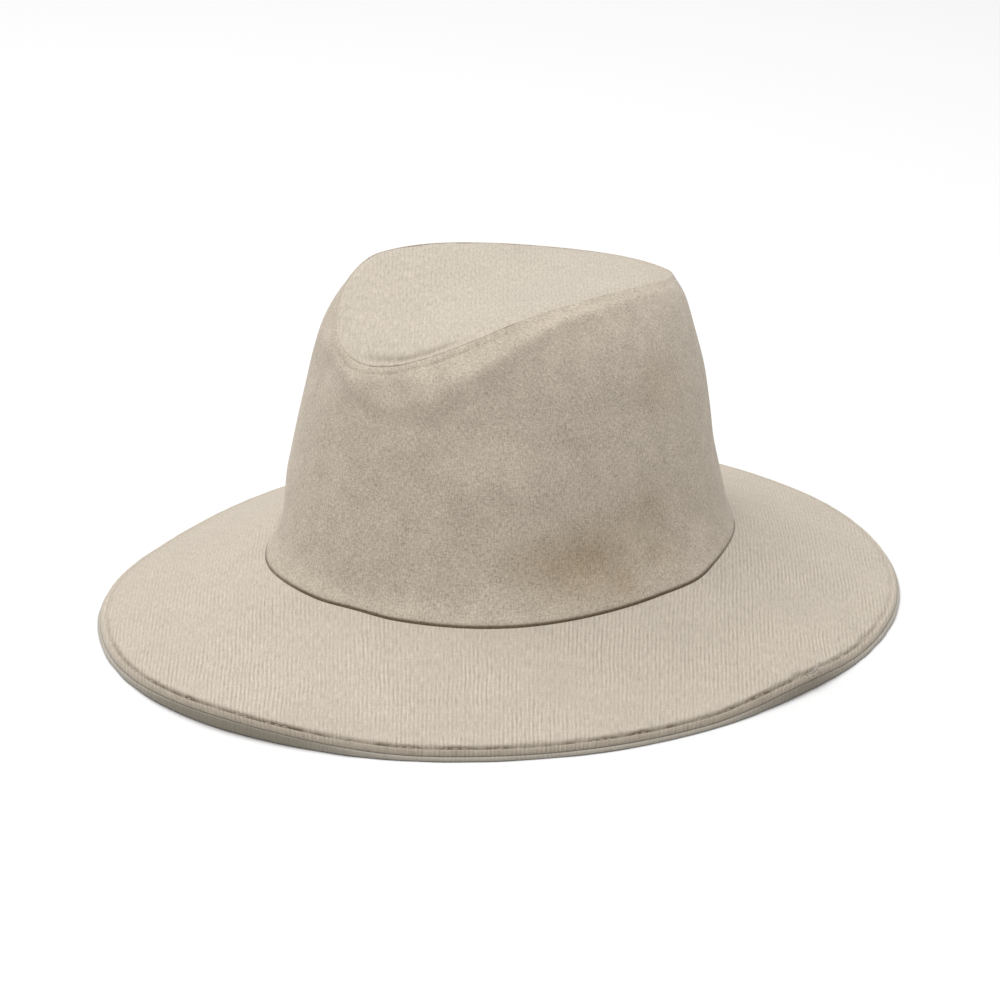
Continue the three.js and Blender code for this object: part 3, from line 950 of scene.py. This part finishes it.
def makeFrayedThreads(material, line):
    plan = frayedThreads
    dice = random.Random(plan["seed"])
    bpy.ops.mesh.primitive_cylinder_add(vertices=5, radius=plan["thickness"] * mm / 2, depth=mm,
                                        location=(0, 0, mm / 2))
    fibre = bpy.context.active_object
    bpy.ops.object.transform_apply()
    bpy.ops.object.mode_set(mode="EDIT")
    for cut in plan["cuts"]:
        bpy.ops.mesh.select_all(action="SELECT")
        bpy.ops.mesh.bisect(plane_co=(0, 0, cut * mm), plane_no=(0, 0, 1))
    bpy.ops.object.mode_set(mode="OBJECT")
    for vertex in fibre.data.vertices:
        share = vertex.co.z / mm
        vertex.co.x = vertex.co.x * (1 - plan["taper"] * share) + plan["curl"] * mm * share * share
        vertex.co.y *= 1 - plan["taper"] * share
    places = []
    for number in range(plan["count"]):
        angle = plan["angle"] + dice.gauss(0, 0.5) * plan["halfSpan"]
        outward = seamOutward(angle)
        along = outward.cross(Vector((0, 0, 1)))
        leanOut, leanAlong, leanUp = [dice.uniform(*span) for span in plan["leans"]]
        strayOut, strayAlong = [dice.uniform(*span) * mm for span in plan["strays"]]
        lean = outward * leanOut + along * leanAlong + Vector((0, 0, leanUp))
        spot = line[round(angle / 360 * len(line))][0] + outward * strayOut + along * strayAlong
        place = Matrix.Translation(spot) @ lean.to_track_quat("Z", "Y").to_matrix().to_4x4()
        places.append(place @ Matrix.Diagonal((1, 1, dice.uniform(*plan["length"]), 1)))
    spreadCopies(fibre, "frayedThreads", places, material)


# Materials

# Each input is given as a value or as the output of another node
def addNode(tree, kind, inputs, **settings):
    made = tree.nodes.new(kind)
    made.location = (200 * (len(tree.nodes) % 8), -300 * (len(tree.nodes) // 8))
    for name, value in settings.items():
        setattr(made, name, value)
    for name, value in inputs.items():
        if isinstance(value, bpy.types.NodeSocket):
            tree.links.new(value, made.inputs[name])
        else:
            made.inputs[name].default_value = value
    return made


def mathNode(tree, operation, *values):
    return addNode(tree, "ShaderNodeMath", dict(enumerate(values)), operation=operation).outputs[0]


def noiseNode(tree, vector, scale=1, detail=1, roughness=0.5):
    inputs = {"Vector": vector, "Scale": scale, "Detail": detail, "Roughness": roughness}
    return addNode(tree, "ShaderNodeTexNoise", inputs).outputs["Fac"]


def rangeNode(tree, value, low, high, least, most):
    inputs = {"Value": value, "From Min": low, "From Max": high, "To Min": least, "To Max": most}
    return addNode(tree, "ShaderNodeMapRange", inputs).outputs["Result"]


def combineNode(tree, x, y):
    return addNode(tree, "ShaderNodeCombineXYZ", {"X": x, "Y": y}).outputs["Vector"]


def mixNode(tree, blend, factor, first, second):
    inputs = {0: factor, 6: first, 7: second}
    return addNode(tree, "ShaderNodeMix", inputs, data_type="RGBA", blend_type=blend).outputs[2]


def markNode(tree, name):
    return addNode(tree, "ShaderNodeAttribute", {}, attribute_name=name).outputs["Fac"]


# Woven cloth: broken ribs along the weave map, dashes of warp and weft, grain and soft blotches
def clothMaterial(name, looks):
    material = bpy.data.materials.new(name)
    material.use_nodes = True
    tree = material.node_tree
    tree.nodes.clear()
    weave = addNode(tree, "ShaderNodeUVMap", {}, uv_map="weave").outputs["UV"]
    solid = addNode(tree, "ShaderNodeTexCoord", {}).outputs["Object"]
    parts = addNode(tree, "ShaderNodeSeparateXYZ", {"Vector": weave})
    across, along = parts.outputs["X"], parts.outputs["Y"]

    # ribs that wander a little, break off and are worn in patches
    wander = noiseNode(tree, weave, 1 / looks["wanderLength"])
    shift = mathNode(tree, "MULTIPLY_ADD", wander, 2 * looks["wander"], -looks["wander"])
    strayed = mathNode(tree, "ADD", across, shift)
    count = mathNode(tree, "DIVIDE", strayed, looks["ribPitch"])
    wave = mathNode(tree, "COSINE", mathNode(tree, "MULTIPLY", count, 2 * math.pi))
    run = mathNode(tree, "DIVIDE", along, looks["ribLength"])
    present = rangeNode(tree, noiseNode(tree, combineNode(tree, count, run)), 0.3, 0.62, 0, 1)
    worn = rangeNode(tree, noiseNode(tree, weave, 1 / looks["wornSize"]), 0.36, 0.6, 0.3, 1.25)
    fadedAndLit = markNode(tree, "fadedAndLit")
    kept = mathNode(tree, "MULTIPLY", worn, mathNode(tree, "SUBTRACT", 1, fadedAndLit))
    rib = mathNode(tree, "MULTIPLY", mathNode(tree, "MULTIPLY", wave, present), kept)

    # warp and weft dashes
    fineAcross, longAcross, fineAlong, longAlong = (
        mathNode(tree, "DIVIDE", value, looks[size])
        for value in (strayed, along) for size in ("threadWidth", "dashLength"))
    warp = noiseNode(tree, combineNode(tree, fineAcross, longAlong))
    weft = noiseNode(tree, combineNode(tree, longAcross, fineAlong))
    grain = noiseNode(tree, solid, 1 / looks["grainSize"], 2, 0.6)
    blotch = noiseNode(tree, solid, 1 / looks["blotchSize"], 2)

    # the ribs' tone is partly painted shade in their grooves, besides the bump
    tone = mathNode(tree, "MULTIPLY_ADD", rib, looks["ribTone"], 0.5)
    for value, strength in ((warp, "warpTone"), (weft, "weftTone"), (grain, "grainTone"),
                            (blotch, "blotchTone")):
        centred = mathNode(tree, "SUBTRACT", value, 0.5)
        tone = mathNode(tree, "MULTIPLY_ADD", centred, looks[strength], tone)
    # painted light: the faded mark also makes the cloth paler
    tone = mathNode(tree, "MULTIPLY_ADD", fadedAndLit, looks["paintedLightTone"], tone)
    colour = mixNode(tree, "MIX", tone, looks["shade"], looks["lit"])
    # brownish stain, partly painted shade in the dents
    colour = mixNode(tree, "MULTIPLY", markNode(tree, "stainedAndShaded"), colour, looks["stainAndShadeTint"])
    # painted shade in the seams, the creases, the inside of the crown and on the brim's turned edges
    colour = mixNode(tree, "MULTIPLY", markNode(tree, "paintedShade"), colour, looks["paintedShadeTint"])

    height = mathNode(tree, "MULTIPLY", rib, looks["ribDepth"])
    for value in (grain, warp, weft):
        height = mathNode(tree, "MULTIPLY_ADD", value, looks["threadDepth"], height)
    bump = addNode(tree, "ShaderNodeBump", {"Strength": 1, "Distance": 1, "Height": height})
    shader = addNode(tree, "ShaderNodeBsdfPrincipled", {
        "Base Color": colour, "Normal": bump.outputs["Normal"], "Roughness": 0.95, "IOR": 1.45,
        "Specular IOR Level": 0.1, "Sheen Weight": looks["sheen"], "Sheen Roughness": 0.5})
    addNode(tree, "ShaderNodeOutputMaterial", {"Surface": shader.outputs["BSDF"]})
    return material


brimCanvas = {
    "lit": (0.724, 0.642, 0.535, 1), "shade": (0.305, 0.266, 0.215, 1),
    "paintedShadeTint": (0.26, 0.225, 0.18, 1), "stainAndShadeTint": (0.8, 0.72, 0.62, 1), "paintedLightTone": 0,
    "ribPitch": 1.69 * mm, "ribLength": 14 * mm, "ribTone": 0.17, "ribDepth": 0.04 * mm,
    "wander": 0.7 * mm, "wanderLength": 16 * mm, "wornSize": 38 * mm,
    "threadWidth": 0.6 * mm, "dashLength": 4 * mm, "threadDepth": 0.06 * mm,
    "warpTone": 0.6, "weftTone": 0.25,
    "grainSize": 0.5 * mm, "grainTone": 0.6,
    "blotchSize": 20 * mm, "blotchTone": 0.15, "sheen": 0.15,
}
wallCanvas = {
    **brimCanvas,
    "lit": (0.7, 0.61, 0.499, 1), "shade": (0.298, 0.252, 0.197, 1), "paintedShadeTint": (0.4, 0.34, 0.27, 1),
    "ribPitch": crownWall["streakPitch"], "ribTone": 0.05, "ribDepth": 0.02 * mm, "wander": 0.2 * mm,
    "dashLength": 2 * mm, "threadDepth": 0.08 * mm, "warpTone": 0.8, "weftTone": 0.7,
    "grainSize": 0.7 * mm, "grainTone": 1, "paintedLightTone": 0.35, "blotchSize": 9 * mm, "blotchTone": 0.4,
}
tipCanvas = {
    **brimCanvas,
    "lit": (0.708, 0.632, 0.528, 1), "shade": (0.298, 0.262, 0.212, 1), "paintedShadeTint": (0.4, 0.34, 0.27, 1),
    "ribPitch": 1.6 * mm, "ribLength": 8 * mm, "ribTone": 0.06, "ribDepth": 0.03 * mm,
    "threadWidth": 0.8 * mm, "threadDepth": 0.08 * mm, "weftTone": 0.3, "grainSize": 0.7 * mm,
}
# the lower ply is painted darker than the upper one, painted shade under the upper ply's edge
underCanvas = {
    **brimCanvas,
    "lit": (0.6, 0.55, 0.475, 1), "shade": (0.28, 0.255, 0.22, 1), "paintedShadeTint": (0.58, 0.56, 0.52, 1),
    "ribTone": 0.1, "warpTone": 0.3,
}
thread = {**brimCanvas, "lit": (0.56, 0.49, 0.4, 1), "shade": (0.28, 0.24, 0.19, 1),
          "ribTone": 0, "ribDepth": 0}
brimThread = {**thread, "lit": (0.68, 0.6, 0.5, 1), "shade": (0.32, 0.28, 0.225, 1)}
frayedThread = {**thread, "lit": (0.8, 0.75, 0.67, 1), "shade": (0.4, 0.36, 0.3, 1)}

# The pieces of the hat

mitres = seamMitres()
tipLine = makeCrownWall(clothMaterial("crownCanvas", wallCanvas), mitres)
makeCrownTip(clothMaterial("tipCanvas", tipCanvas), mitres)
brimLine = makeBrimTop(clothMaterial("brimCanvas", brimCanvas))
makeBrimUnder(clothMaterial("underCanvas", underCanvas))
sewStitches("tipStitches", tipLine, clothMaterial("tipThread", thread))
sewStitches("brimStitches", brimLine, clothMaterial("brimThread", brimThread))
makeFrayedThreads(clothMaterial("frayedThread", frayedThread), brimLine)


# Studio: pale floor, white surroundings and one large soft light overhead

studio = {
    "floorSize": 12,
    "floorHeight": -0.0002,
    "floorTone": (0.82, 0.82, 0.82, 1),
    "skyTone": (1, 1, 1, 1),
    "skyStrength": 0.5,
    "lightSize": 2.2,
    "lightPlace": (-0.3, -0.2, 2.2),
    "lightPower": 52,
}


def makeStudio():
    bpy.ops.mesh.primitive_plane_add(size=studio["floorSize"], location=(0, 0, studio["floorHeight"]))
    floor = bpy.context.active_object
    floor.name = "studioFloor"
    paint = bpy.data.materials.new("studioFloor")
    paint.use_nodes = True
    shader = paint.node_tree.nodes["Principled BSDF"]
    for name, value in (("Base Color", studio["floorTone"]), ("Roughness", 1), ("Specular IOR Level", 0)):
        shader.inputs[name].default_value = value
    floor.data.materials.append(paint)

    world = bpy.data.worlds.new("studioWorld")
    bpy.context.scene.world = world
    world.use_nodes = True
    background = world.node_tree.nodes["Background"]
    background.inputs["Color"].default_value = studio["skyTone"]
    background.inputs["Strength"].default_value = studio["skyStrength"]

    bpy.ops.object.light_add(type="AREA", location=studio["lightPlace"])
    lamp = bpy.context.active_object
    lamp.name = "softbox"
    lamp.data.size = studio["lightSize"]
    lamp.data.energy = studio["lightPower"]
    aim = headMiddle - Vector(studio["lightPlace"])
    lamp.rotation_euler = aim.to_track_quat("-Z", "Y").to_euler()
    bpy.context.scene.view_settings.view_transform = "Standard"
    print("studio ready")


camera = {
    "azimuth": 47,
    "elevation": 22.07,
    "distance": 1.7,
    "target": (1.7, 1.8, 44),  # from the middle of the head opening, in mm
    "lens": 149.6,
    "sensor": 36,
}


def makeCamera():
    side, ahead = sineCosine(camera["azimuth"])
    up, level = sineCosine(camera["elevation"])
    back = Vector((side * level, -ahead * level, up))
    target = headMiddle + Vector(camera["target"]) * mm
    bpy.ops.object.camera_add(location=target + back * camera["distance"])
    eye = bpy.context.active_object
    eye.name = "camera"
    eye.rotation_euler = (-back).to_track_quat("-Z", "Y").to_euler()
    eye.data.lens = camera["lens"]
    eye.data.sensor_width = camera["sensor"]
    bpy.context.scene.camera = eye
    print("camera ready")


makeStudio()
makeCamera()
